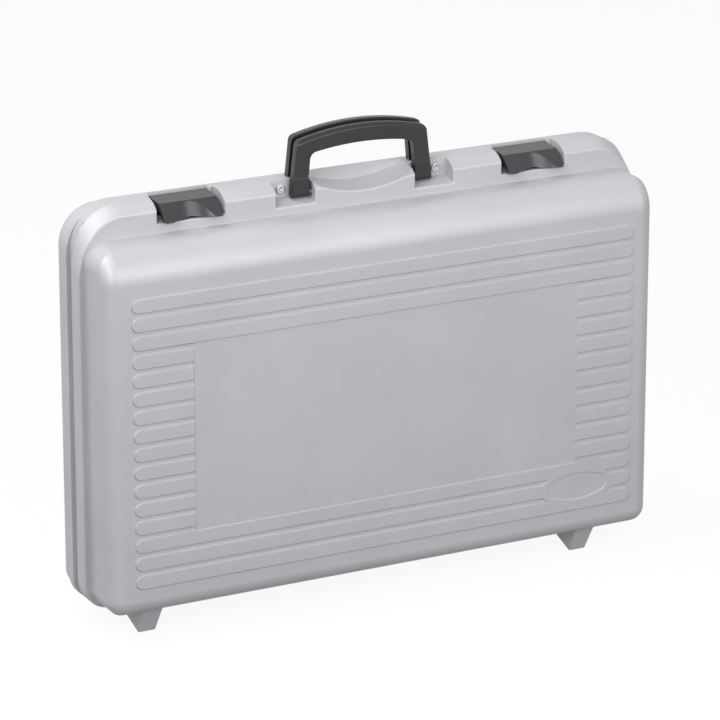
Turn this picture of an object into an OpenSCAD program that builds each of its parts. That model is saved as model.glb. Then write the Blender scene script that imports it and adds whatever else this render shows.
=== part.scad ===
// Hard tool case: two half shells hinged along the bottom, two latches and a folding handle.
// Lengths are millimetres. X runs along the width, Y from front to rear, Z up from the ground.

/* [Shells] */
// width of a half body inside the rim
body_width = 454.8; // [400:1:560]
// depth of the ribbed front half, from the parting plane to its face
front_depth = 58.8; // [50:1:90]
// depth of the rear half, from the parting plane to its face
rear_depth = 32; // [28:1:80]
// height of the bodies' underside below the rim's flat top
case_height = 300; // [284:1:400]
// the front body's top below the rim's top
front_drop = 23.4; // [17:0.1:30]
// the rear body's top below the rim's top
rear_drop = 6.3; // [4:0.1:12]
// ground to the underside of the bodies
foot_height = 20; // [17:0.5:30]
// thickness of the moulded walls
wall = 2.8; // [2:0.1:3.2]
// radius of the long rounded edge along the top of the front
top_edge_r = 25.3; // [15:0.2:34]
// radius of the front body's upright and lower edges
side_edge_r = 12.6; // [6:0.2:16]
// radius of the rear body's edges
rear_edge_r = 10; // [5:0.5:14]
// radius of the front body's upper corners
front_corner_r = 17; // [10:0.5:26]
// radius of the rear body's upper corners
rear_corner_r = 30; // [16:0.5:36]
// radius of both bodies' lower corners
low_corner_r = 14; // [8:0.5:20]
// gap between the closed halves
seam = 0.2; // [0.1:0.05:0.4]

/* [Rim] */
// how far the rim stands out from the bodies at the sides
rim_side = 4.6; // [3.4:0.1:8]
// how far the rim reaches below the bodies
rim_drop = 4; // [3.4:0.1:6]
// depth of the front rim in front of the parting plane
rim_front = 20.8; // [18:0.2:24]
// depth of the rear rim behind the parting plane
rim_rear = 7.4; // [7:0.1:10]
// width of the channel beside the seam
channel_width = 8.8; // [7:0.1:10]
// depth of the channel beside the seam
channel_depth = 3; // [1:0.1:3.2]
// how much higher the channel's corners lie, which lets it fade out along the top
channel_fade = 3; // [2:0.1:5]
// radius of the rim's upper corners
rim_corner_r = 36; // [26:0.5:42]
// radius of the rim's lower corners
rim_low_r = 20; // [12:0.5:24]
// slope of the front half of the crown in degrees
crown_steep = 38; // [25:1:42]
// slope of the rear half of the crown in degrees
crown_soft = 22; // [10:1:24]

/* [Ribs and badge place] */
// number of ribs on the front
rib_count = 16; // [10:1:16]
// distance from rib to rib
rib_pitch = 14; // [12.6:0.1:14.6]
// height of one rib
rib_width = 10.2; // [7:0.1:10.8]
// how far the ribs stand out
rib_raise = 1.2; // [0.9:0.1:3]
// flat margin between the ribs and the rounded side edges
rib_margin = 6.9; // [2:0.1:14]
// full ribs above and below the panel
full_ribs = 3; // [3:1:4]
// length of the short ribs beside the panel
short_rib = 48.2; // [30:0.2:90]
// how far the plain panel stands out
panel_raise = 0.8; // [0.3:0.05:0.8]
// half length of the oval badge place
badge_long = 26; // [20:0.5:30]
// half height of the oval badge place
badge_short = 10.5; // [8.5:0.25:12]
// end radius of the oval badge place
badge_end_r = 6.5; // [5.5:0.1:7.5]
// depth of the oval badge place
badge_deep = 0.6; // [0.2:0.05:0.8]
// badge centre to the end of the ribs
badge_inset = 46.4; // [40:0.2:80]
// shoulder of the badge pad past the oval's end
pad_shoulder = -1; // [-3:0.1:2]
// tip of the badge pad past the oval's end
pad_tip = 4.7; // [3:0.1:8]

/* [Feet] */
// width of a foot where it leaves the shell
foot_width = 16.5; // [12:0.5:17]
// how much a foot narrows on each side
foot_taper = 1.6; // [0:0.1:3]
// depth of a foot's tip
foot_tip = 2; // [1.5:0.1:5]
// how far a front foot's outer face leans back
foot_lean = 11.5; // [6:0.5:14]
// rise of a front foot's inner face for each millimetre of depth
foot_rise = 0.385; // [0.2:0.005:0.5]
// how far a rear foot's outer face leans in
rear_foot_lean = 4; // [3:0.5:5]
// rise of a rear foot's inner face for each millimetre of depth
rear_foot_rise = 1; // [0.8:0.05:1.4]
// middle between a front foot and its rear neighbour, from the body's side
feet_inset = 44.4; // [40:0.2:80]
// half the step that lets the front and rear feet pass
feet_step = 9; // [8.8:0.1:12]

/* [Hinge] */
// radius of the hinge barrel
barrel_r = 5.5; // [4.6:0.1:6]
// radius of the steel hinge rod
rod_r = 2; // [1.5:0.1:2.4]
// end of the barrel from the body's side
barrel_inset = 16.4; // [16:0.2:60]
// number of knuckles, the odd ones on the front half
knuckles = 9; // [5:2:15]
// gap between neighbouring knuckles
knuckle_gap = 0.4; // [0.3:0.05:0.8]
// gap between a barrel and the other half
barrel_gap = 0.4; // [0.3:0.05:0.5]
// height of the hinge rail inside each half above the bodies' underside
rail_height = 4; // [3:0.5:6]
// the hinge axis below the rim's underside
axis_drop = 0.5; // [0.4:0.05:0.8]
// radial clearance of pins that turn
running_gap = 0.05; // [0.02:0.01:0.09]
// radial clearance of pins and screws that stay put
fixed_gap = 0.02; // [0.01:0.01:0.04]

/* [Handle] */
// height of the front arch's crest above the rim
grip_rise = 35.9; // [30:0.5:44]
// thickness of the grip in the front view
grip_thick = 13.2; // [10:0.2:15]
// radius of the grip's top line
grip_top_r = 201; // [160:1:320]
// radius of the finger gap's top line
grip_low_r = 230; // [180:1:340]
// rounding of the grip's upper corners
grip_corner_r = 5; // [3:0.2:7]
// rounding of the finger gap's corners
finger_corner_r = 6; // [3:0.2:7]
// half width of the handle at its feet
handle_half = 58; // [56.6:0.2:64]
// how far the legs lean in from the feet to the top
leg_lean = 4.3; // [2:0.1:8]
// how much the feet splay below their crease
foot_splay = 1.3; // [0.5:0.1:2]
// the legs' upper ends below the crest
shoulder_drop = 9.9; // [8:0.1:12]
// how far the finger gap's sides lean in at the top
inner_lean = 0.3; // [0:0.1:2]
// width of a foot of the handle
handle_foot = 15; // [13.4:0.2:15.6]
// depth of the front arch
front_arch = 6.4; // [5:0.1:7]
// depth of the rear arch
rear_arch = 5.7; // [4:0.1:5.8]
// depth of the slot between the arches
arch_slot = 3.5; // [2.5:0.1:4]
// how far the web lies back in the slot
web_inset = 3; // [1.5:0.1:4]
// how much higher the rear arch stands
rear_step = 1.8; // [0:0.1:3]
// bevel along the front of the grip
grip_bevel = 2.5; // [1:0.1:3]
// how far the feet stand out from the front arch
foot_pad = 0.5; // [0.2:0.1:0.8]
// top of the feet above the rim
foot_crease = 1; // [0.8:0.1:4]
// the handle pivot below the rim's top
pivot_drop = 10.3; // [9.6:0.1:10.6]
// gap between the rear arch's ends and the rim
rest_gap = 0.3; // [0.2:0.05:0.5]
// radius of the pivot pins
handle_pin_r = 2; // [1.6:0.1:2]
// how far a pivot pin reaches into the handle
handle_pin_reach = 9; // [6:0.5:11]

/* [Handle pockets] */
// gap between a handle foot and its pocket's inner wall
pocket_gap = 1.5; // [0.8:0.1:2]
// width of a handle pocket
pocket_width = 31.9; // [28:0.1:36]
// gap between the handle feet and the pocket's back wall
pocket_back_gap = 0.9; // [0.5:0.05:1.2]
// gap under the handle feet at the pocket's back wall
pocket_floor_gap = 0.8; // [0.4:0.05:1]
// slope of the pocket's floor in degrees
pocket_slope = 19; // [10:1:22]
// thickness of the steel brackets behind the pockets
bracket_thick = 1.5; // [1:0.1:1.6]
// radius of the screw heads
screw_head_r = 3.3; // [2.4:0.1:3.5]
// height of the screw heads
screw_head = 2; // [1.4:0.1:2.4]
// radius of the screw shanks
screw_r = 1.7; // [1.2:0.1:1.8]
// length of the screw shanks
screw_length = 6.4; // [5:0.1:6.8]
// screw axis from the pocket's outer wall
screw_inset = 8.9; // [7:0.1:11]
// the screw below the rim's top
screw_drop = 6.9; // [6.4:0.1:8]
// radius of the dip in the rim under the grip
saddle_r = 104.6; // [90:0.5:140]
// depth of that dip at the seam
saddle_deep = 8.8; // [5:0.1:8.8]
// wall under that dip
saddle_wall = 1.8; // [1.5:0.1:2]
// slope of that dip toward the front in degrees
saddle_slope = 10; // [7:0.1:11]

/* [Latches] */
// width of a latch
latch_width = 46; // [34:0.5:52]
// centre of a latch from the rim's side
latch_inset = 90; // [84:0.5:95]
// thickness of a latch's flat part
latch_plate = 2.2; // [1.8:0.1:2.4]
// thickness of a latch's sloping lip
latch_lip = 4; // [3:0.1:4.4]
// length of the flat part in front of the pivot
latch_flat = 17.3; // [16:0.1:19]
// fall of the flat part toward its crease
latch_fall = 1.4; // [0.8:0.1:1.8]
// reach of the lip in front of the crease
lip_reach = 12.6; // [10:0.1:14]
// fall of the lip below the crease
lip_fall = 11.9; // [10.6:0.1:12]
// radius of the latch knuckle
latch_knuckle_r = 2.6; // [2.4:0.05:2.8]
// the latch's top below the rim's top
latch_sink = 1.9; // [1.5:0.1:2.4]
// the latch pivot behind the parting plane
latch_pivot_back = 2.6; // [2.2:0.05:2.8]
// radius of the latch pins
latch_pin_r = 1.3; // [1:0.05:1.5]
// how far a latch pin reaches into the rim on each side
latch_pin_reach = 4; // [3:0.5:4.5]
// gap around a latch in its notch
latch_gap = 0.5; // [0.4:0.05:0.6]
// gap between a latch's sides and its pocket
latch_pocket_side = 4; // [1:0.1:6]
// gap between a latch's lip and its pocket's floor
latch_floor_gap = 0.8; // [0.5:0.05:0.9]
// radius of the finger scoop across the lip
scoop_r = 28; // [26:0.5:32]
// depth of the finger scoop at the lip's edge
scoop_deep = 5.8; // [5:0.1:6.2]
// slope of the finger scoop against the lip in degrees
scoop_tilt = 20.5; // [19:0.5:23]
// thickness of the rib that holds up a closed latch
latch_rib = 2.4; // [1.6:0.1:3.5]
// length of that rib
latch_rib_length = 30; // [16:1:33]

/* [Hidden] */

$fn = 96;
silver = "#BEBFC2";
charcoal = "#48484A";
grey = "#6B6D6F";
steel = "#A9ABAD";

// past every face that a cut has to clear
over = 1;
// past the whole case
far = 900;
// lets a corner circle cross its neighbours instead of only touching them
tangent_lift = 0.02;

total_depth = rib_raise + front_depth + rear_depth;
part_y = total_depth / 2 - rear_depth;
front_y = part_y - front_depth;
rear_y = part_y + rear_depth;
front_end_y = part_y - seam / 2;
rear_end_y = part_y + seam / 2;

body_half = body_width / 2;
low_z = foot_height;
rim_top = low_z + case_height;
front_top = rim_top - front_drop;
rear_top = rim_top - rear_drop;
rim_low = low_z - rim_drop;
rim_half = body_half + rim_side;
rim_front_y = part_y - rim_front;
rim_rear_y = part_y + rim_rear;
channel_y = part_y - channel_width;
crown_end_y = channel_y - 0.6;
crown_mid_y = (rim_front_y + crown_end_y) / 2;
crown_mid_z = rim_top - (crown_end_y - crown_mid_y) * tan(crown_soft);

nose_y = front_y + top_edge_r;
nose_z = front_top - top_edge_r;
chin_y = front_y + side_edge_r;
chin_z = low_z + side_edge_r;
rear_edge_y = rear_y - rear_edge_r;

rib_mid_z = (chin_z + nose_z) / 2;
rib_half = body_half - side_edge_r - rib_margin;
panel_half = rib_half - short_rib;
function rib_z(i) = rib_mid_z + ((rib_count - 1) / 2 - i) * rib_pitch;
panel_high = rib_z(full_ribs - 1) - rib_width / 2;
panel_low = rib_z(rib_count - full_ribs) + rib_width / 2;
badge_x = rib_half - badge_inset;
badge_z = rib_z(rib_count - 2);
groove = rib_pitch - rib_width;
badge_flat_r = ((badge_long - badge_end_r) * (badge_long - badge_end_r)
    + badge_short * badge_short - badge_end_r * badge_end_r) / (2 * (badge_short - badge_end_r));
badge_turn_x = (badge_long - badge_end_r) * badge_flat_r / (badge_flat_r - badge_end_r);

front_foot_y = front_y + side_edge_r * 0.66;
rear_foot_y = rear_y - rear_edge_r * 0.8;

feet_middle = body_half - feet_inset;

hinge_y = part_y;
barrel_half = body_half - barrel_inset;
hinge_z = rim_low - axis_drop;
knuckle = 2 * barrel_half / knuckles;

front_arch_y = channel_y + 0.5 - pocket_back_gap - front_arch;
slot_y = front_arch_y + front_arch;
rear_arch_y = slot_y + arch_slot;
arch_end_y = rear_arch_y + rear_arch;
handle_end_r = (front_arch + foot_pad) / 2;
pivot_y = slot_y - handle_end_r;
pivot_z = rim_top - pivot_drop;
handle_low = pivot_z - handle_end_r;
crease_z = rim_top + foot_crease;
grip_top = rim_top + grip_rise;
foot_in = handle_half - handle_foot;

pocket_in = foot_in - pocket_gap;
pocket_out = pocket_in + pocket_width;
pocket_back = slot_y + pocket_back_gap;
pocket_low = handle_low - pocket_floor_gap + (pocket_back - pivot_y) * tan(pocket_slope);
screw_x = pocket_out - screw_inset;
screw_z = rim_top - screw_drop;
bracket_in = pocket_in - wall - bracket_thick;

latch_x = rim_half - latch_inset;
latch_pivot_y = part_y + latch_pivot_back;
latch_top = rim_top - latch_sink;
latch_pivot_z = latch_top - latch_knuckle_r;
latch_crease_y = latch_pivot_y - latch_flat;
latch_crease_z = latch_top - latch_fall;
lip_y = latch_crease_y - lip_reach;
lip_z = latch_crease_z - lip_fall;
latch_floor = lip_z - latch_floor_gap;
lip_angle = atan2(lip_fall, lip_reach);
lip_inner_y = lip_y + latch_lip / sin(lip_angle);
latch_inner_y = latch_crease_y + latch_lip * sin(lip_angle) + latch_plate / 2;
notch_back = latch_pivot_y + latch_knuckle_r + latch_gap + 0.2;
latch_rib_y = latch_inner_y + 1;

// outline in X and Z, extruded from y0 to y1
module along_y(y0, y1) {
    translate([0, y1, 0])
        rotate([90, 0, 0])
            linear_extrude(y1 - y0)
                children();
}

// outline in Y and Z, extruded from x0 to x1
module along_x(x0, x1) {
    translate([x0, 0, 0])
        rotate([90, 0, 90])
            linear_extrude(x1 - x0)
                children();
}

// a block between two corners
module block(a, b) {
    translate(a)
        cube(b - a);
}

// a round bar along X
module bar_x(x0, x1, y, z, r) {
    translate([x0, y, z])
        rotate([0, 90, 0])
            cylinder(h = x1 - x0, r = r);
}

// a round bar along Y
module bar_y(y0, y1, x, z, r) {
    translate([x, y1, z])
        rotate([90, 0, 0])
            cylinder(h = y1 - y0, r = r);
}

// its own piece and the mirrored one on the other side
module both_sides() {
    children();
    mirror([1, 0, 0])
        children();
}

// rectangle with its own radius at the lower and the upper corners
module rounded(half, low, high, low_r, high_r) {
    translate([-half, low + low_r])
        square([2 * half, high - high_r - low - low_r]);
    translate([-half + low_r, low])
        square([2 * (half - low_r), low_r]);
    translate([-half + high_r, high - high_r])
        square([2 * (half - high_r), high_r]);
    for (side = [-1, 1]) {
        translate([side * (half - low_r), low + low_r])
            circle(low_r);
        translate([side * (half - high_r), high - high_r])
            circle(high_r);
    }
}

// rectangle from (x0, y0) to (x1, y1) with two rounded corners on its x0 side
module nosed(x0, x1, y0, y1, low_r, high_r) {
    translate([x0 + low_r, y0])
        square([x1 - x0 - low_r, low_r]);
    translate([x0, y0 + low_r])
        square([x1 - x0, y1 - y0 - low_r - high_r]);
    translate([x0 + high_r, y1 - high_r])
        square([x1 - x0 - high_r, high_r]);
    translate([x0 + low_r, y0 + low_r])
        circle(low_r);
    translate([x0 + high_r, y1 - high_r])
        circle(high_r);
}

// quarter of a wheel about X with rounded ends; it starts pointing down at 0 and front at 270
module wheel_quarter(y, z, r, half, edge_r, from) {
    translate([0, y, z])
        rotate([0, 90, 0])
            rotate(from)
                rotate_extrude(angle = 90)
                    intersection() {
                        rotate(-90)
                            rounded(half, -2 * r, r, edge_r, edge_r);
                        translate([0, -half])
                            square([r, 2 * half]);
                    }
}

// quarter of a disc about Y with its rear edge rounded; it starts pointing right at 0, down at
// 90, left at 180 and up at 270
module disc_quarter(x, y, z, r, edge_r, from) {
    translate([x, y, z])
        rotate([-90, 0, 0])
            rotate(from)
                rotate_extrude(angle = 90)
                    intersection() {
                        rounded(r, -2 * edge_r, edge_r, edge_r / 2, edge_r);
                        square([r, edge_r]);
                    }
}

// front body, drawn in by t on every side
module front_body(t, end_y) {
    half = body_half - t;
    edge_r = side_edge_r - t;
    intersection() {
        along_y(front_y + t, end_y)
            rounded(half, low_z + t, front_top - t, low_corner_r - t, front_corner_r - t);
        union() {
            wheel_quarter(nose_y, nose_z, top_edge_r - t, half, edge_r, 180);
            wheel_quarter(chin_y, chin_z, edge_r, half, edge_r, 270);
            translate([0, 0, chin_z])
                linear_extrude(nose_z - chin_z)
                    rotate(90)
                        nosed(front_y + t, nose_y, -half, half, edge_r, edge_r);
            along_y(chin_y, nose_y)
                intersection() {
                    rounded(half, low_z + t, front_top - t, edge_r, edge_r);
                    translate([-half, 0])
                        square([2 * half, chin_z]);
                }
            along_y(nose_y, end_y)
                rounded(half, low_z + t, front_top - t, edge_r, edge_r);
        }
    }
}

// rear body, drawn in by t on every side
module rear_body(t, start_y) {
    half = body_half - t;
    edge_r = rear_edge_r - t;
    low_r = low_corner_r - t;
    high_r = rear_corner_r - t;
    along_y(start_y, rear_edge_y)
        rounded(half, low_z + t, rear_top - t, low_r, high_r);
    disc_quarter(half - low_r, rear_edge_y, low_z + low_corner_r, low_r, edge_r, 0);
    disc_quarter(low_r - half, rear_edge_y, low_z + low_corner_r, low_r, edge_r, 90);
    disc_quarter(high_r - half, rear_edge_y, rear_top - rear_corner_r, high_r, edge_r, 180);
    disc_quarter(half - high_r, rear_edge_y, rear_top - rear_corner_r, high_r, edge_r, 270);
    translate([0, 0, low_z + low_corner_r])
        linear_extrude(rear_top - rear_corner_r - low_z - low_corner_r)
            rotate(-90)
                nosed(-rear_y + t, -start_y, -half, half, edge_r, edge_r);
    along_x(-half + low_r, half - low_r)
        mirror([1, 0])
            intersection() {
                nosed(-rear_y + t, -start_y, low_z + t, rear_top - t, edge_r, edge_r);
                translate([-rear_y, low_z])
                    square([rear_edge_r, low_corner_r]);
            }
    along_x(-half + high_r, half - high_r)
        mirror([1, 0])
            intersection() {
                nosed(-rear_y + t, -start_y, low_z + t, rear_top - t, edge_r, edge_r);
                translate([-rear_y, rear_top - rear_corner_r])
                    square([rear_edge_r, rear_corner_r]);
            }
}

// one slope of the crown: a slanted prism whose top passes through (y, z)
module crown_slope(y, z, slope, r, t) {
    translate([0, y, z])
        rotate([slope, 0, 0])
            along_y(-far, far)
                rounded(rim_half - t, -far, -t, 1, r - t);
}

// front rim, drawn in by t on every side
module front_rim(t, end_y) {
    intersection() {
        along_y(rim_front_y + t, channel_y + over)
            rounded(rim_half - t, rim_low + t, rim_top - t, rim_low_r - t, rim_corner_r - t);
        crown_slope(crown_mid_y, crown_mid_z, crown_steep, rim_corner_r, t);
        crown_slope(crown_end_y, rim_top, crown_soft, rim_corner_r + 1, t);
        translate([-far, -far, 0])
            cube([2 * far, far + channel_y, far]);
    }
    channel_outline(t, channel_y, end_y);
}

// the part of the front rim beside the seam, set back by the channel
module channel_outline(t, y0, y1) {
    along_y(y0, y1)
        intersection() {
            rounded(rim_half - t, rim_low + t, rim_top - t, rim_low_r - t, rim_corner_r - t);
            rounded(rim_half - channel_depth - t, rim_low + channel_depth + t,
                rim_top + channel_fade - t, rim_low_r - channel_depth - t, rim_corner_r - t);
        }
}

// the dip in the front rim under the grip, t deeper
module front_saddle(t) {
    translate([0, part_y, rim_top - saddle_deep])
        rotate([saddle_slope, 0, 0])
            translate([0, 0, saddle_r])
                bar_y(-far / 10, saddle_deep, 0, 0, saddle_r + t);
}

// the dip in the rear rim, which climbs back to the rim's top, t deeper
module rear_saddle(t) {
    translate([0, part_y, rim_top - saddle_deep + saddle_r])
        rotate([-90, 0, 0])
            cylinder(h = rim_rear - 0.7, r1 = saddle_r + t, r2 = saddle_r - saddle_deep + t);
}

// pocket for one handle foot, with t of wall added round it
module handle_pocket(t) {
    rise = (pocket_back - rim_front_y + over) * tan(pocket_slope);
    along_x(pocket_in - t, pocket_out + t)
        polygon([
            [rim_front_y - over, pocket_low - rise - t],
            [pocket_back + t, pocket_low - t],
            [pocket_back + t, rim_top + far],
            [rim_front_y - over, rim_top + far]
        ]);
}

// pocket for one latch in the front rim, with t of wall added round it
module latch_pocket(t) {
    side = latch_width / 2 + latch_pocket_side + t;
    block([latch_x - side, rim_front_y - over, latch_floor - t],
        [latch_x + side, part_y + over, rim_top + far]);
}

// notch for one latch in the rear rim, with t of wall added round it
module latch_notch(t) {
    side = latch_width / 2 + latch_gap + t;
    bar_x(latch_x - side, latch_x + side, latch_pivot_y, latch_pivot_z,
        latch_knuckle_r + latch_gap + t);
    block([latch_x - side, part_y - over, latch_pivot_z - latch_knuckle_r - latch_gap - t],
        [latch_x + side, latch_pivot_y, rim_top + far]);
    block([latch_x - side, latch_pivot_y - over, latch_pivot_z],
        [latch_x + side, notch_back, rim_top + far]);
}

// barrel pieces along the hinge: the odd ones (first = 0) or the even ones (first = 1)
module barrel(first, r, end_gap) {
    for (i = [first : 2 : knuckles - 1])
        bar_x(-barrel_half + i * knuckle + end_gap, -barrel_half + (i + 1) * knuckle - end_gap,
            hinge_y, hinge_z, r);
}

// one foot: side outline from its outer top edge, narrowing downward
module foot(x, top_y, end_y, lean, rise) {
    way = top_y < end_y ? 1 : -1;
    tip_y = top_y + way * lean;
    inner_y = tip_y + way * foot_tip;
    inner_z = abs(end_y - inner_y) * rise;
    lift = low_z + 2;
    intersection() {
        along_x(x - foot_width, x + foot_width)
            polygon([
                [top_y, lift], [tip_y, 0], [inner_y, 0], [end_y, inner_z], [end_y, lift]
            ]);
        along_y(min(top_y, end_y) - over, max(top_y, end_y) + over)
            polygon([
                [x - foot_width / 2, lift], [x - foot_width / 2 + foot_taper, 0],
                [x + foot_width / 2 - foot_taper, 0], [x + foot_width / 2, lift]
            ]);
    }
}

// ribs, panel and badge pad as flat outlines
module rib_outline(i) {
    z = rib_z(i);
    full = i < full_ribs || i >= rib_count - full_ribs;
    inner = full ? 0 : panel_half;
    for (side = [-1, 1]) {
        translate([side * (rib_half - rib_width / 2), z])
            circle(rib_width / 2);
        translate([side > 0 ? inner : -rib_half + rib_width / 2, z - rib_width / 2])
            square([rib_half - rib_width / 2 - inner, rib_width]);
    }
}

module pad_outline(side) {
    tip = badge_long + pad_tip;
    shoulder = badge_long + pad_shoulder;
    near = badge_z + side * rib_width / 2;
    away = near + side * groove;
    polygon([
        [badge_x - tip, near], [badge_x + tip, near],
        [badge_x + shoulder, away], [badge_x - shoulder, away]
    ]);
}

// four-centred oval of the badge place
module badge_outline() {
    translate([badge_x, badge_z]) {
        intersection() {
            translate([0, badge_short - badge_flat_r])
                circle(badge_flat_r, $fn = 192);
            translate([0, badge_flat_r - badge_short])
                circle(badge_flat_r, $fn = 192);
            square([2 * badge_turn_x, 2 * badge_short], center = true);
        }
        for (side = [-1, 1])
            translate([side * (badge_long - badge_end_r), 0])
                circle(badge_end_r);
    }
}

module front_relief() {
    root = front_y + wall / 2;
    along_y(front_y - panel_raise, root)
        translate([-panel_half, panel_low])
            square([2 * panel_half, panel_high - panel_low]);
    along_y(front_y - rib_raise, root)
        for (i = [0 : rib_count - 1])
            rib_outline(i);
    along_y(front_y - rib_raise, root)
        for (side = [-1, 1])
            pad_outline(side);
}

module front_shell() {
    color(silver)
        difference() {
            union() {
                difference() {
                    union() {
                        front_body(0, rim_front_y + wall);
                        front_rim(0, front_end_y);
                    }
                    difference() {
                        union() {
                            front_body(wall, part_y + over);
                            front_rim(wall, part_y + over);
                        }
                        block([-barrel_half - wall, channel_y, 0],
                            [barrel_half + wall, part_y + 2 * over, low_z + rail_height]);
                        front_saddle(saddle_wall);
                        both_sides() {
                            handle_pocket(wall);
                            latch_pocket(wall);
                        }
                    }
                    front_saddle(0);
                    both_sides() {
                        handle_pocket(0);
                        latch_pocket(0);
                    }
                    barrel(1, barrel_r + barrel_gap, 0);
                }
                barrel(0, barrel_r, knuckle_gap / 2);
                front_relief();
                for (side = [-1, 1])
                    foot(side * feet_middle - feet_step + 1, front_foot_y, channel_y - 1,
                        foot_lean, foot_rise);
            }
            along_y(front_y - rib_raise - over, front_y - rib_raise + badge_deep)
                badge_outline();
            bar_x(-far, far, hinge_y, hinge_z, rod_r + running_gap);
            both_sides() {
                bar_x(pocket_in - wall - over, pocket_in + over, pivot_y, pivot_z,
                    handle_pin_r + 0.3);
                bar_y(pocket_back - over, pocket_back + wall + over, screw_x, screw_z,
                    screw_r + 0.2);
            }
        }
}

module rear_shell() {
    color(silver)
        difference() {
            union() {
                difference() {
                    union() {
                        rear_body(0, rear_end_y);
                        along_y(rear_end_y, rim_rear_y)
                            rounded(rim_half, rim_low, rim_top, rim_low_r, rim_corner_r);
                    }
                    difference() {
                        union() {
                            rear_body(wall, part_y - over);
                            along_y(part_y - over, rim_rear_y - wall)
                                rounded(rim_half - channel_depth - wall,
                                    rim_low + channel_depth + wall, rim_top - wall,
                                    rim_low_r - channel_depth - wall,
                                    rim_corner_r - channel_depth - wall);
                        }
                        block([-barrel_half - wall, part_y - 2 * over, 0],
                            [barrel_half + wall, rim_rear_y, low_z + rail_height]);
                        rear_saddle(saddle_wall);
                        both_sides()
                            latch_notch(latch_pin_reach + 1);
                    }
                    rear_saddle(0);
                    both_sides()
                        latch_notch(0);
                    barrel(0, barrel_r + barrel_gap, 0);
                }
                barrel(1, barrel_r, knuckle_gap / 2);
                for (side = [-1, 1])
                    foot(side * feet_middle + feet_step + 1, rear_foot_y, rim_rear_y - 1,
                        rear_foot_lean, rear_foot_rise);
            }
            bar_x(-far, far, hinge_y, hinge_z, rod_r + running_gap);
            both_sides()
                bar_x(latch_x - latch_width / 2 - latch_pin_reach,
                    latch_x + latch_width / 2 + latch_pin_reach,
                    latch_pivot_y, latch_pivot_z, latch_pin_r + fixed_gap);
        }
}

module hinge_rod() {
    color(steel)
        bar_x(-barrel_half, barrel_half, hinge_y, hinge_z, rod_r);
}

// centre of the corner circle between a top line of radius r_top and the side line a to b
function corner_centre(top, r_top, r, a, b) =
    let (d = (b - a) / norm(b - a))
    let (n = [d[1], -d[0]])
    let (p = a + r * n - [0, top - r_top])
    let (q = p * d)
    p + d * (-q - sqrt(q * q - p * p + (r_top - r) * (r_top - r))) + [0, top - r_top];

// area under an arch: a top line of radius r_top, rounded corners and two sides through pts
module arch_area(top, r_top, r, pts) {
    a = pts[0];
    b = pts[1];
    d = (b - a) / norm(b - a);
    n = [d[1], -d[0]];
    o = [0, top - r_top];
    c = corner_centre(top, r_top, r, a, b);
    t1 = o + (c - o) * r_top / (r_top - r);
    t2 = c - r * n;
    right = concat([t1, c, t2], [for (i = [1 : len(pts) - 1]) pts[i]]);
    left = [for (i = [len(right) - 1 : -1 : 0]) [-right[i][0], right[i][1]]];
    polygon(concat(right, left));
    for (side = [-1, 1])
        translate([side * c[0], c[1]])
            circle(r + tangent_lift);
    intersection() {
        translate(o)
            circle(r_top, $fn = 360);
        translate([-t1[0], t1[1] - grip_thick])
            square([2 * t1[0], 2 * grip_thick]);
    }
}

// ring of one arch, lifted by up, drawn in by t
module arch_ring(up, t) {
    top = grip_top + up - t;
    half = handle_half - t;
    difference() {
        arch_area(top, grip_top_r - t, grip_corner_r, [
            [half - leg_lean, grip_top + up - shoulder_drop], [half - foot_splay, crease_z],
            [half, handle_low]
        ]);
        arch_area(top + 2 * t - grip_thick, grip_low_r + t, finger_corner_r, [
            [foot_in - inner_lean + t, grip_top + up - shoulder_drop - handle_foot * 0.6],
            [foot_in + foot_splay + t, crease_z], [foot_in + t, handle_low],
            [foot_in + t, handle_low - over]
        ]);
    }
}

module handle() {
    color(charcoal)
        difference() {
            union() {
                intersection() {
                    along_y(front_arch_y - foot_pad, slot_y)
                        arch_ring(0, 0);
                    along_x(-far, far) {
                        translate([front_arch_y, crease_z])
                            square([front_arch, far]);
                        translate([front_arch_y - foot_pad, pivot_z])
                            square([front_arch + foot_pad, crease_z - pivot_z]);
                        translate([pivot_y, pivot_z])
                            circle(handle_end_r);
                    }
                }
                intersection() {
                    along_y(rear_arch_y, arch_end_y)
                        arch_ring(rear_step, 0);
                    block([-far, -far, rim_top + rest_gap], [far, far, far]);
                }
                intersection() {
                    along_y(slot_y - over, rear_arch_y + over)
                        arch_ring(0, web_inset);
                    block([-far, -far, crease_z + grip_bevel], [far, far, far]);
                }
            }
            translate([0, front_arch_y, grip_top - grip_top_r])
                rotate([90, 0, 0])
                    translate([0, 0, -grip_bevel])
                        difference() {
                            cylinder(h = grip_bevel, r = grip_top_r + grip_bevel, $fn = 360);
                            cylinder(h = grip_bevel, r1 = grip_top_r,
                                r2 = grip_top_r - grip_bevel, $fn = 360);
                        }
            both_sides()
                bar_x(foot_in - over, foot_in + handle_pin_reach + fixed_gap, pivot_y, pivot_z,
                    handle_pin_r + fixed_gap);
        }
}

module handle_pin() {
    color(steel)
        bar_x(bracket_in - 0.6, foot_in + handle_pin_reach, pivot_y, pivot_z, handle_pin_r);
}

module handle_pin_left() {
    mirror([1, 0, 0])
        handle_pin();
}

module handle_pin_right() {
    handle_pin();
}

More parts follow.
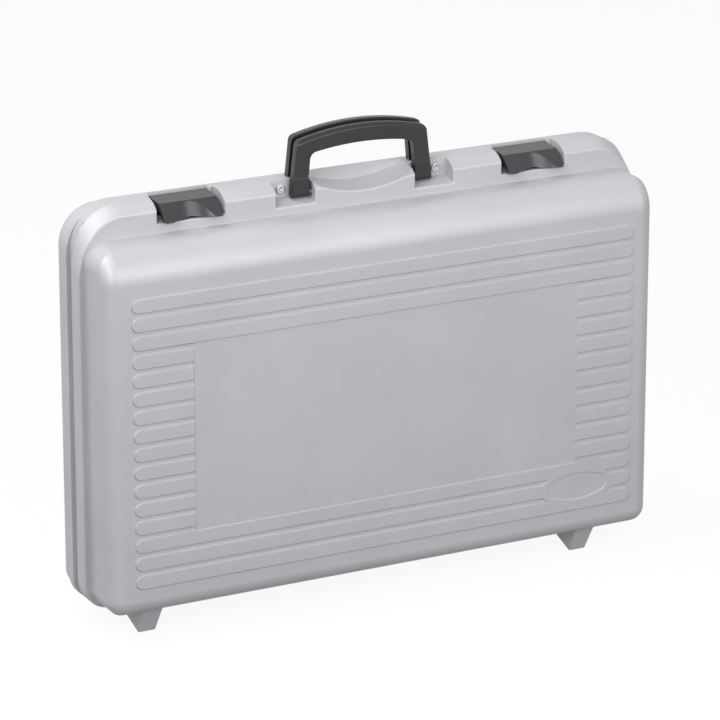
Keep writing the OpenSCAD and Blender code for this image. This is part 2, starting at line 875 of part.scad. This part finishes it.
// bent bracket: a plate behind the pocket's back wall and a lug beside its inner wall
module handle_bracket() {
    plate_y = pocket_back + wall;
    plate_low = pocket_low - wall - 1;
    lug_top = pivot_z + handle_pin_r + 1;
    color(steel)
        difference() {
            union() {
                block([bracket_in, plate_y, plate_low],
                    [screw_x + screw_head_r + 2, plate_y + bracket_thick,
                        screw_z + screw_r + 1.6]);
                block([bracket_in, pivot_y - handle_pin_r - 2, pivot_z - handle_pin_r - 2],
                    [bracket_in + bracket_thick, plate_y + bracket_thick, lug_top]);
            }
            bar_x(bracket_in - over, bracket_in + bracket_thick + over, pivot_y, pivot_z,
                handle_pin_r + running_gap);
            bar_y(plate_y - over, plate_y + bracket_thick + over, screw_x, screw_z,
                screw_r + fixed_gap);
            front_saddle(saddle_wall + fixed_gap);
        }
}

module handle_bracket_left() {
    mirror([1, 0, 0])
        handle_bracket();
}

module handle_bracket_right() {
    handle_bracket();
}

// pan-head screw with a cross recess, head on the pocket's back wall
module handle_screw() {
    slot = 0.7;
    color(steel)
        difference() {
            union() {
                bar_y(pocket_back - screw_head, pocket_back, screw_x, screw_z, screw_head_r);
                bar_y(pocket_back - over, pocket_back + screw_length, screw_x, screw_z, screw_r);
            }
            for (turn = [0, 90])
                translate([screw_x, pocket_back - screw_head, screw_z])
                    rotate([0, turn, 0])
                        cube([2 * screw_head_r - 2.4, screw_head, slot], center = true);
        }
}

module handle_screw_left() {
    mirror([1, 0, 0])
        handle_screw();
}

module handle_screw_right() {
    handle_screw();
}

// latch plate with its sloping lip, knuckle, finger scoop and the rib that rests on the floor
module latch() {
    x0 = latch_x - latch_width / 2;
    x1 = latch_x + latch_width / 2;
    color(grey)
        difference() {
            union() {
                along_x(x0, x1) {
                    polygon([
                        [latch_pivot_y, latch_top], [latch_crease_y, latch_crease_z],
                        [lip_y, lip_z], [lip_inner_y, lip_z],
                        [latch_inner_y, latch_crease_z - latch_plate + 0.2],
                        [latch_pivot_y, latch_top - latch_plate]
                    ]);
                    translate([latch_pivot_y, latch_pivot_z])
                        circle(latch_knuckle_r);
                }
                block([latch_x - latch_rib_length / 2, latch_rib_y, latch_floor + rest_gap],
                    [latch_x + latch_rib_length / 2, latch_rib_y + latch_rib,
                        latch_crease_z - latch_plate + 0.6]);
            }
            bar_x(x0 - over, x1 + over, latch_pivot_y, latch_pivot_z, latch_pin_r + running_gap);
            translate([latch_x, lip_y, lip_z])
                rotate([lip_angle + scoop_tilt, 0, 0])
                    translate([0, 0, scoop_r - scoop_deep])
                        bar_y(-4 * scoop_deep, 4 * lip_reach, 0, 0, scoop_r);
        }
}

module latch_left() {
    mirror([1, 0, 0])
        latch();
}

module latch_right() {
    latch();
}

module latch_pin() {
    reach = latch_width / 2 + latch_pin_reach;
    color(steel)
        bar_x(latch_x - reach, latch_x + reach, latch_pivot_y, latch_pivot_z, latch_pin_r);
}

module latch_pin_left() {
    mirror([1, 0, 0])
        latch_pin();
}

module latch_pin_right() {
    latch_pin();
}

front_shell();
rear_shell();
hinge_rod();
handle();
handle_pin_left();
handle_pin_right();
handle_bracket_left();
handle_bracket_right();
handle_screw_left();
handle_screw_right();
latch_left();
latch_right();
latch_pin_left();
latch_pin_right();
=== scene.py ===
# %% [markdown]
# # A moulded hard tool case, dressed for a product photo
#
# The case is a simple object made of very few materials: two silver-grey plastic halves, a charcoal
# handle, two dark grey latches and a little bright steel. The solids already have the right shape and
# size, so this lesson is about what makes moulded plastic look moulded: edges that catch the light,
# a fine grain on every face, and soft light from above.
#
# They are the frame that everything else follows.

# %% Load the solids
import math

import bpy
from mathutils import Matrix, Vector


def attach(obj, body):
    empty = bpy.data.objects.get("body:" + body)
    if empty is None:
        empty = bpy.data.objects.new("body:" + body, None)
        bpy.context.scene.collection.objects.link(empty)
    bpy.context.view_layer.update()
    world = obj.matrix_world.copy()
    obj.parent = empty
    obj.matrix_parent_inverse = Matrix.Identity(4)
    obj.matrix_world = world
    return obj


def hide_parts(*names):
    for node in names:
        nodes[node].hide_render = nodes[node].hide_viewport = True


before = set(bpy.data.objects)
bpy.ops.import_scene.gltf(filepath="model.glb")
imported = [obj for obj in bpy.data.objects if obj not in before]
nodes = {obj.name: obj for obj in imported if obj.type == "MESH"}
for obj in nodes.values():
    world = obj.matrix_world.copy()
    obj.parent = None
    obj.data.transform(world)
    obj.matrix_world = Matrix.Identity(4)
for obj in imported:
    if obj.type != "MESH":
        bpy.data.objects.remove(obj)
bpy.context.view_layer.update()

MM = 0.001

# %% [markdown]
# ## Camera
#
# The photo was taken from the front left, a little above the lid, with a long lens: the sides of the
# case hardly run together. A long lens needs distance, so the camera stands more than three metres
# away. Place, direction and focal length were fitted to the ribs, whose spacing never changes, and
# the camera is turned by a look direction instead of by three typed angles.

# %% Camera where the photographer stood
CAMERA_PLACE = (-1.3788, -2.6367, 1.1511)  # m
LOOK = (0.4399, 0.8420, -0.3122)
LENS = 209.55  # mm, on a sensor 36 mm wide


def turned(direction):
    """The turn that makes a camera or lamp look along direction."""
    return Vector(direction).to_track_quat("-Z", "Y").to_euler()


camera = bpy.data.objects.new("studio_camera", bpy.data.cameras.new("long_lens"))
bpy.context.collection.objects.link(camera)
camera.location = CAMERA_PLACE
camera.rotation_euler = turned(LOOK)
camera.data.sensor_width = 36
camera.data.lens = LENS
camera.data.clip_end = 60
bpy.context.scene.camera = camera
print("camera distance", round(camera.location.length, 2), "m")

# %% [markdown]
# ## Helpers for materials
#
# Colours are written the way a designer writes them, as sRGB hex values. Cycles works in linear
# light, so one function turns the hex value into linear numbers. A second one adds a shader node with
# its settings and its links in one line, which keeps a recipe readable.

# %% Colours and shader nodes
def linear(code):
    """Linear RGBA of an sRGB hex colour."""
    out = []
    for i in (0, 2, 4):
        c = int(code[i:i + 2], 16) / 255
        out.append(c / 12.92 if c <= 0.04045 else ((c + 0.055) / 1.055) ** 2.4)
    return (*out, 1.0)


def add(tree, kind, settings=None, **inputs):
    """Adds a node: settings are its properties, inputs are values or the sockets that feed it.

    An input is named by its label, or by an underscore and its number where labels repeat.
    """
    node = tree.nodes.new(kind)
    for key, value in (settings or {}).items():
        setattr(node, key, value)
    for key, value in inputs.items():
        label = key.replace("_", " ")
        socket = node.inputs[label] if label in node.inputs else node.inputs[int(key[1:])]
        if isinstance(value, bpy.types.NodeSocket):
            tree.links.new(value, socket)
        else:
            socket.default_value = value
    return node


def blank(name):
    """A new material and its empty node tree."""
    material = bpy.data.materials.new(name)
    material.use_nodes = True
    material.node_tree.nodes.clear()
    return material, material.node_tree


def per_mm(size):
    """Noise scale whose blotches are about size millimetres across."""
    return 1 / (size * MM)


# %% [markdown]
# ## Moulded plastic
#
# A plastic case is moulded in a steel tool whose walls were spark-eroded. That leaves a fine, even
# grain of about a fifth of a millimetre on the part, which takes the shine off and makes highlights
# wide and soft. At this distance such a grain is smaller than a pixel, so the pattern is drawn at
# about a millimetre, where it just shows.
#
# All three plastics share one recipe and differ in colour, shine and grain:
# * a slow drift between two close colours, because no large moulding is perfectly even,
# * a fine speckle, which on the silver stands for the metal flakes in the pigment,
# * a bump from the same grain, and a roughness that varies a little with it.

# %% A recipe for the three plastics
def moulded_plastic(name, dark, light, rough, grain, flake, lift, metal=0.0):
    """Grained plastic: grain and flake in mm, lift is how deep the grain is in mm."""
    material, tree = blank(name)
    where = add(tree, "ShaderNodeTexCoord").outputs["Object"]
    drift = add(tree, "ShaderNodeTexNoise", Vector=where, Scale=per_mm(60), Detail=2.0)
    speck = add(tree, "ShaderNodeTexNoise", Vector=where, Scale=per_mm(flake), Detail=3.0, Roughness=0.6)
    both = add(tree, "ShaderNodeMath", {"operation": "MULTIPLY_ADD"}, _0=speck.outputs["Fac"], _1=0.45,
               _2=drift.outputs["Fac"])
    tone = add(tree, "ShaderNodeMapRange", Value=both.outputs["Value"], From_Min=0.45, From_Max=1.0)
    colour = add(tree, "ShaderNodeMix", {"data_type": "RGBA"}, _0=tone.outputs["Result"],
                 _6=linear(dark), _7=linear(light))
    pits = add(tree, "ShaderNodeTexNoise", Vector=where, Scale=per_mm(grain), Detail=4.0, Roughness=0.65)
    bump = add(tree, "ShaderNodeBump", Strength=0.35, Distance=lift * MM, Height=pits.outputs["Fac"])
    shine = add(tree, "ShaderNodeMapRange", Value=pits.outputs["Fac"], From_Min=0.3, From_Max=0.7,
                To_Min=rough - 0.04, To_Max=rough + 0.05)
    skin = add(tree, "ShaderNodeBsdfPrincipled", Base_Color=colour.outputs["Result"],
               Roughness=shine.outputs["Result"], Normal=bump.outputs["Normal"],
               Metallic=metal, IOR=1.5)
    add(tree, "ShaderNodeOutputMaterial", Surface=skin.outputs["BSDF"])
    return material


silver_abs = moulded_plastic("silver_moulded_abs", "B6B7BB", "BDBEC2", rough=0.5, grain=1.1,
                             flake=1.6, lift=0.05, metal=0.22)
charcoal_nylon = moulded_plastic("charcoal_moulded_nylon", "1C1C1E", "242426", rough=0.26, grain=0.9,
                                 flake=1.4, lift=0.04)
grey_acetal = moulded_plastic("grey_moulded_acetal", "2A2B2D", "323335", rough=0.3, grain=0.9,
                              flake=1.4, lift=0.03)
print("plastics:", silver_abs.name, charcoal_nylon.name, grey_acetal.name)

# %% [markdown]
# ## Zinc-plated steel
#
# The hinge rod, the pins and the screws are drawn wire and cold-headed steel with a thin zinc
# coating: bright, slightly cloudy, with fine lines along the draw. A noise that is stretched along
# the wire makes those lines.

# %% Steel for rod, pins, brackets and screws
def zinc_plated(name):
    """Bright drawn steel: clouds of 6 mm in its colour, lines of half a millimetre along the wire."""
    material, tree = blank(name)
    where = add(tree, "ShaderNodeTexCoord").outputs["Object"]
    along = add(tree, "ShaderNodeMapping", Vector=where, Scale=(0.08, 1.0, 1.0))
    lines = add(tree, "ShaderNodeTexNoise", Vector=along.outputs["Vector"], Scale=per_mm(0.5), Detail=3.0)
    cloud = add(tree, "ShaderNodeTexNoise", Vector=where, Scale=per_mm(6), Detail=2.0)
    colour = add(tree, "ShaderNodeMix", {"data_type": "RGBA"}, _0=cloud.outputs["Fac"],
                 _6=linear("A6A8AA"), _7=linear("C9CBCC"))
    shine = add(tree, "ShaderNodeMapRange", Value=lines.outputs["Fac"], From_Min=0.3, From_Max=0.7,
                To_Min=0.22, To_Max=0.4)
    bump = add(tree, "ShaderNodeBump", Strength=0.25, Distance=0.02 * MM, Height=lines.outputs["Fac"])
    skin = add(tree, "ShaderNodeBsdfPrincipled", Base_Color=colour.outputs["Result"],
               Roughness=shine.outputs["Result"], Normal=bump.outputs["Normal"], Metallic=1.0)
    add(tree, "ShaderNodeOutputMaterial", Surface=skin.outputs["BSDF"])
    return material


zinc_steel = zinc_plated("zinc_plated_steel")
print("metal:", zinc_steel.name)

# %% [markdown]
# ## Soft edges
#
# No moulded edge is sharp. Every rib, pocket and seam on the real case ends in a small radius, and
# those radii draw the thin bright and dark lines that make the case readable. The solids have sharp
# edges there, so each visible moulding is rebuilt: its solid is duplicated, doubled points are merged,
# and a bevel rounds every edge that turns by more than a set angle. The curved surfaces are left
# alone, because their facets meet at small angles. Weighted normals come last: they let the large
# faces decide the shading, so a flat panel stays flat right up to its rounded edge.

# %% Modifiers and edge weights
MERGE = 0.15 * MM
CREASE = 20  # degrees at which an edge counts as sharp where the softer edges are picked
SMOOTH = 34  # degrees up to which two faces are shaded as one surface


def use_modifier(piece, kind, title, **settings):
    """Adds a modifier with its settings and applies it."""
    modifier = piece.modifiers.new(title, kind)
    for key, value in settings.items():
        setattr(modifier, key, value)
    bpy.ops.object.modifier_apply(modifier=modifier.name)


def weigh_edges(piece, weigh):
    """Gives each sharp edge the smaller of its two ends' values of weigh(x, y, z), all in mm."""
    bpy.ops.object.mode_set(mode="EDIT")
    bpy.ops.mesh.select_mode(type="EDGE")
    bpy.ops.mesh.select_all(action="DESELECT")
    bpy.ops.mesh.edges_select_sharp(sharpness=math.radians(CREASE))
    bpy.ops.object.mode_set(mode="OBJECT")
    shares = [weigh(*(v.co / MM)) for v in piece.data.vertices]
    weight = piece.data.attributes.new("bevel_weight_edge", "FLOAT", "EDGE")
    for edge in piece.data.edges:
        start, end = edge.vertices
        weight.data[edge.index].value = edge.select * min(shares[start], shares[end])


print("doubles within", MERGE, "m are merged, smooth up to", SMOOTH, "degrees")

# %% [markdown]
# ## One function for all mouldings
#
# A solid can't be changed, so the function works on a duplicate: it hides the solid, puts the copy on
# the body it rides on and gives it its material. The wide bevel comes first, while the edges that it
# needs are still whole, and the narrow one rounds what is left.

# %% A copy of a solid with rounded edges
def rounded_copy(node, name, radius, body, finish, limit=30, wide=None, wide_radius=1.2):
    """Copies a solid and rounds its edges over limit degrees; radius in mm, wide weighs softer ones."""
    bpy.ops.object.select_all(action="DESELECT")
    nodes[node].select_set(True)
    bpy.context.view_layer.objects.active = nodes[node]
    bpy.ops.object.duplicate()
    piece = bpy.context.object
    piece.name = name
    piece.data.name = name
    bpy.ops.object.mode_set(mode="EDIT")
    bpy.ops.mesh.select_all(action="SELECT")
    bpy.ops.mesh.remove_doubles(threshold=MERGE)
    bpy.ops.object.mode_set(mode="OBJECT")
    if wide:
        weigh_edges(piece, wide)
        use_modifier(piece, "BEVEL", "wide radius", width=wide_radius * MM, segments=4,
                     limit_method="WEIGHT", use_clamp_overlap=False, loop_slide=False)
    use_modifier(piece, "BEVEL", "moulded radius", width=radius * MM, segments=2, limit_method="ANGLE",
                 angle_limit=math.radians(limit), use_clamp_overlap=False, loop_slide=False)
    bpy.ops.object.shade_smooth_by_angle(angle=math.radians(SMOOTH))
    use_modifier(piece, "WEIGHTED_NORMAL", "flat panels", keep_sharp=True, weight=50)
    piece.data.materials.clear()
    piece.data.materials.append(finish)
    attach(piece, body)
    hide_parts(node)
    print(name, "faces:", len(piece.data.polygons))


# %% [markdown]
# ## The two halves
#
# The front half is one large moulding with its rim, ribs, panel, pockets, feet and hinge knuckles.
# The rear half is the plainer one behind the seam. Most of their edges are crisp. The front edge of
# the rim is softer, because hands and doorways meet it first: it shows as a bright line that runs
# along the whole top. The line where the body grows out of the rim has a smaller fillet.

# %% Front and rear half
RIM_FRONT = -6.8  # y of the rim's front face in mm
RIM_OUTSIDE = (228, 19, 298.5)  # mm: beyond this x, below or above these heights lies its outer edge
BODY_LINE = (200, 290)  # mm: the line on top of the body, within this x and above this height


def rim_weight(x, y, z):
    """1 along the outer edge of the rim's front face, less where the body leaves it at the top."""
    if abs(y - RIM_FRONT) > 0.05:
        return 0.0
    side, low, high = RIM_OUTSIDE
    if abs(x) > side or z > high or z < low:
        return 1.0
    reach, height = BODY_LINE
    return 0.6 if z > height and abs(x) < reach else 0.0


rounded_copy("front_shell", "front_half", 0.35, "front", silver_abs, wide=rim_weight)
rounded_copy("rear_shell", "rear_half", 0.35, "lid", silver_abs)

# %% [markdown]
# ## Handle and latches
#
# The hand holds the handle, so its edges are rounder than those of the shell. The latches have thin,
# crisp edges with just enough radius to catch a line of light. Their finger scoops meet the plate at
# only twenty degrees, so the limit for rounding is lower there.

# %% Handle and latches
rounded_copy("handle", "carry_grip", 0.4, "carry_handle", charcoal_nylon)
for side in ("left", "right"):
    rounded_copy("latch_" + side, side + "_flap", 0.3, side + "_latch", grey_acetal, limit=16)

# %% [markdown]
# ## Steel pieces
#
# The screws in the handle pockets are the only steel that shows from the front. Their heads get a
# small radius like the plastic. Rod, pins and brackets stay as they are and only take the finish.

# %% Screws, rod, pins and brackets
for side in ("left", "right"):
    rounded_copy("handle_screw_" + side, "pocket_screw_" + side, 0.25, "front", zinc_steel)
for name in ("hinge_rod", "handle_pin_left", "handle_pin_right", "handle_bracket_left",
             "handle_bracket_right", "latch_pin_left", "latch_pin_right"):
    nodes[name].data.materials.clear()
    nodes[name].data.materials.append(zinc_steel)
    print(name, "is", zinc_steel.name)

# %% [markdown]
# ## Floor
#
# The photo has a white background without a horizon. The floor is a large plane. The camera and
# mirror-like rays see white paper that mostly glows by itself, and the part that doesn't glow keeps
# the soft shadow of the case. All other rays see dark paper, so that little light comes up from below
# and the underside of the case stays darker than its front.

# %% White floor
def looked_at(tree):
    """1 for the rays that show the background: from the camera, mirrored or seen through glass."""
    path = add(tree, "ShaderNodeLightPath")
    seen = add(tree, "ShaderNodeMath", {"operation": "MAXIMUM"}, _0=path.outputs["Is Camera Ray"],
               _1=path.outputs["Is Glossy Ray"])
    seen = add(tree, "ShaderNodeMath", {"operation": "MAXIMUM"}, _0=seen.outputs["Value"],
               _1=path.outputs["Is Transmission Ray"])
    return seen.outputs["Value"]


bpy.ops.object.select_all(action="DESELECT")
bpy.ops.mesh.primitive_plane_add(size=24)
floor = bpy.context.object
floor.name = "studio_floor"
white_floor, tree = blank("white_floor")
seen = looked_at(tree)
share = add(tree, "ShaderNodeMath", {"operation": "MULTIPLY"}, _0=seen, _1=0.92)
tone = add(tree, "ShaderNodeMix", {"data_type": "RGBA"}, _0=seen, _6=linear("3C3C3C"), _7=linear("FFFFFF"))
paper = add(tree, "ShaderNodeBsdfDiffuse", Color=tone.outputs["Result"])
glow = add(tree, "ShaderNodeEmission", Color=(1, 1, 1, 1), Strength=1.0)
mixed = add(tree, "ShaderNodeMixShader", _0=share.outputs["Value"], _1=paper.outputs["BSDF"],
            _2=glow.outputs["Emission"])
add(tree, "ShaderNodeOutputMaterial", Surface=mixed.outputs["Shader"])
floor.data.materials.append(white_floor)
print("floor:", floor.name)

# %% [markdown]
# ## World
#
# The world is the sky of the studio. It fills the shadows a little, so it is a dim lamp, but it is
# white where it is looked at and where steel or plastic mirrors it.

# %% White world
world = bpy.data.worlds.new("studio_white")
bpy.context.scene.world = world
world.use_nodes = True
tree = world.node_tree
tree.nodes.clear()
level = add(tree, "ShaderNodeMapRange", Value=looked_at(tree), To_Min=0.27, To_Max=1.0)
sky = add(tree, "ShaderNodeBackground", Color=(1, 1, 1, 1), Strength=level.outputs["Result"])
add(tree, "ShaderNodeOutputWorld", Surface=sky.outputs["Background"])
print("world:", world.name)

# %% [markdown]
# ## Soft boxes
#
# Four soft boxes light the case. One hangs overhead, moved to the left: it lights the rim and casts
# the short shadows under the latches and ribs. One behind it brightens the back edge. A small one
# stands near the front right, only a little higher than the case: seen from the front left it mirrors
# in the rounded top edge and draws the broad bright band there, strongest at the left. The fourth,
# left of the camera, fills the front and the narrow left side.

# %% Soft boxes
def soft_box(name, place, target, size, watts):
    """A square lamp: place and target in metres, size is its side in metres."""
    lamp = bpy.data.objects.new(name, bpy.data.lights.new(name, "AREA"))
    bpy.context.collection.objects.link(lamp)
    lamp.data.shape = "SQUARE"
    lamp.data.size = size
    lamp.data.energy = watts
    lamp.location = place
    lamp.rotation_euler = turned(Vector(target) - Vector(place))
    print(name, watts, "W")


soft_box("box_overhead", (-0.8, 0.0, 1.6), (0, 0, 0.3), 1.2, 11.5)
soft_box("box_behind", (-1.2, 0.7, 1.6), (0, 0, 0.3), 1.2, 11)
soft_box("box_near", (0.2, -1.1, 0.74), (-0.15, 0, 0.26), 0.8, 8.5)
soft_box("box_front", (-1.9, -1.5, 1.4), (0, 0, 0.2), 1.2, 29)

bpy.context.scene.view_settings.view_transform = "Standard"
